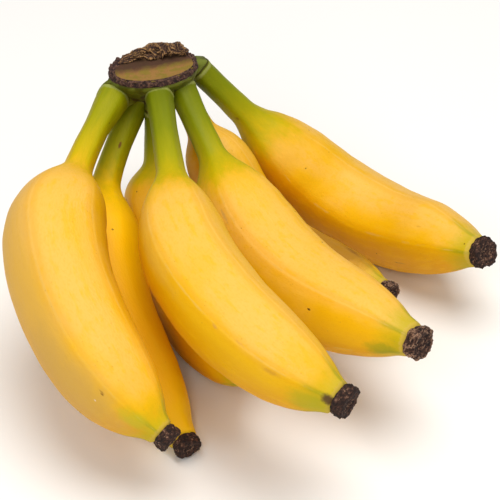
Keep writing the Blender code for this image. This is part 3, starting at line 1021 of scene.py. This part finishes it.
def torn_mass(finish):
    """A thick crumpled roll that lies along the back of the rim and leans over the face."""
    def place(angle, share):
        turn = MASS_FROM + (MASS_TO - MASS_FROM) * share
        swell = min(share * 5, (1 - share) * 2.2, 1) ** 0.8
        round_it = Vector((math.cos(angle), 0, math.sin(angle)))
        at = Vector((math.cos(turn) * 13, math.sin(turn) * 13, 0)) + round_it * 2.4
        lumps = noise.noise(at / 3.2)
        fold = 0.35 - abs(noise.noise(at / 3.0 + Vector((5, 5, 5))))
        crumple = 0.3 - abs(noise.fractal(at / 1.3, 0.8, 2.0, 2))
        pit = min(max((0.12 - abs(noise.noise(at / 1.9 + Vector((9, 2, 4))))) / 0.12, 0), 1)
        grown = swell * (1 + 0.9 * lumps + 1.5 * fold + 0.2 * crumple - 0.28 * pit)
        middle = rim_place(turn, 0.15, FACE_Z + 0.5 + 0.3 * math.sin(turn) + 0.4 * math.cos(turn))
        out = oval_place(math.cos(turn), math.sin(turn), 0) - oval_place(0, 0, 0)
        up = np.array((0, 0, 1.0))
        return middle + out * MASS_OUT * grown * math.cos(angle) + up * MASS_UP * grown * math.sin(angle)
    bm = gathered([closed_tube(84, 280, place)])
    bmesh.ops.recalc_face_normals(bm, faces=bm.faces)
    hollowness(bm, passes=4)
    return finished("torn_mass", bm, finish, "dried_fibre")


# %% [markdown]
# Loose strips stick out of the mass, each one bent its own way. They are closed tubes with five sides,
# wide one way and thin the other. A seeded random generator gives the same strips on each run.

# %% The loose fibres
FIBRES = 46


def torn_fibres(finish):
    rng = np.random.default_rng(5)
    strips = []
    for _ in range(FIBRES):
        turn = rng.uniform(MASS_FROM + 0.12, MASS_TO - 0.45)
        share = rng.uniform(-0.2, 0.5)
        reach = rng.uniform(0.9, 2.2)
        wide, thin = rng.uniform(0.3, 0.9), rng.uniform(0.10, 0.22)
        lean_in, sideways = rng.uniform(-1.6, 0.6), rng.uniform(-1.5, 1.5)
        foot = rim_place(turn, share, 0)
        out = oval_place(math.cos(turn), math.sin(turn), 0) - oval_place(0, 0, 0)
        tangent = np.cross((0, 0, 1), out)
        rise = FACE_Z + 0.3 + 0.7 * math.sin(turn)

        def place(angle, up):
            bow = up * up
            slim = 1 - 0.55 * up
            across = out * (math.cos(angle) * thin * slim + lean_in * bow)
            beside = tangent * (math.sin(angle) * wide * slim + sideways * bow)
            return foot + across + beside + np.array((0, 0, rise + up * reach * (1 - 0.25 * bow)))
        strips.append(closed_tube(5, 4, place))
    bm = gathered(strips)
    hollowness(bm, passes=0)
    return finished("torn_fibres", bm, finish, "dried_fibre")


torn = dry_finish("torn_fibre", seen(36, 22, 24), seen(96, 66, 48), seen(182, 140, 88))
torn_mass(torn)
torn_fibres(torn)

# %% [markdown]
# ## Floor, light and camera
# The floor is plain and pale. One wide light above gives the soft shine on the upper faces, a second one
# fills the front, and the pale surroundings do the rest. The camera looks down at forty degrees, as the
# photographer did, with a long lens.

# %% The floor
def floor():
    bm = bmesh.new()
    bmesh.ops.create_grid(bm, x_segments=2, y_segments=2, size=3.0)
    mesh = bpy.data.meshes.new("floor")
    bm.to_mesh(mesh)
    bm.free()
    obj = bpy.data.objects.new("floor", mesh)
    bpy.context.scene.collection.objects.link(obj)
    pale = Finish("pale_floor", roughness=0.9, specular=0.1)
    pale.colour((0.93, 0.93, 0.93, 1.0))
    mesh.materials.append(pale.material)
    return obj


floor()


# %% The lights
WARM = (1.0, 0.96, 0.9)
LIT_PLACE = Vector((0, 0, 0.03))


def soft_light(name, place, size, power):
    lamp = bpy.data.lights.new(name, "AREA")
    lamp.shape = "DISK"
    lamp.size = size
    lamp.energy = power
    lamp.color = WARM
    obj = bpy.data.objects.new(name, lamp)
    obj.location = place
    obj.rotation_euler = (LIT_PLACE - Vector(place)).to_track_quat("-Z", "Y").to_euler()
    bpy.context.scene.collection.objects.link(obj)
    return obj


def surroundings(strength):
    world = bpy.data.worlds.new("pale_room")
    world.use_nodes = True
    world.node_tree.nodes["Background"].inputs["Color"].default_value = (1, 1, 1, 1)
    world.node_tree.nodes["Background"].inputs["Strength"].default_value = strength
    bpy.context.scene.world = world


surroundings(0.36)
soft_light("top_light", (0.08, -0.04, 0.92), 0.7, 6.8)
soft_light("front_light", (-0.2, -0.65, 0.62), 0.5, 2.4)
print("lights:", len(bpy.data.lights))

# %% The camera
CAMERA_AIM = Vector((-0.002847, 0.008954, 0.035))
CAMERA_DISTANCE = 0.600
CAMERA_HEIGHT_ANGLE = math.radians(40)
lens = bpy.data.cameras.new("camera")
lens.lens = 130
lens.sensor_width = 36
lens.clip_start = 0.05
camera = bpy.data.objects.new("camera", lens)
back = Vector((0, -math.cos(CAMERA_HEIGHT_ANGLE), math.sin(CAMERA_HEIGHT_ANGLE)))
camera.location = CAMERA_AIM + back * CAMERA_DISTANCE
camera.rotation_euler = (-back).to_track_quat("-Z", "Y").to_euler()
bpy.context.scene.collection.objects.link(camera)
bpy.context.scene.camera = camera
bpy.context.scene.view_settings.view_transform = "Standard"
print("the camera stands", round(CAMERA_DISTANCE / MM), "mm away")
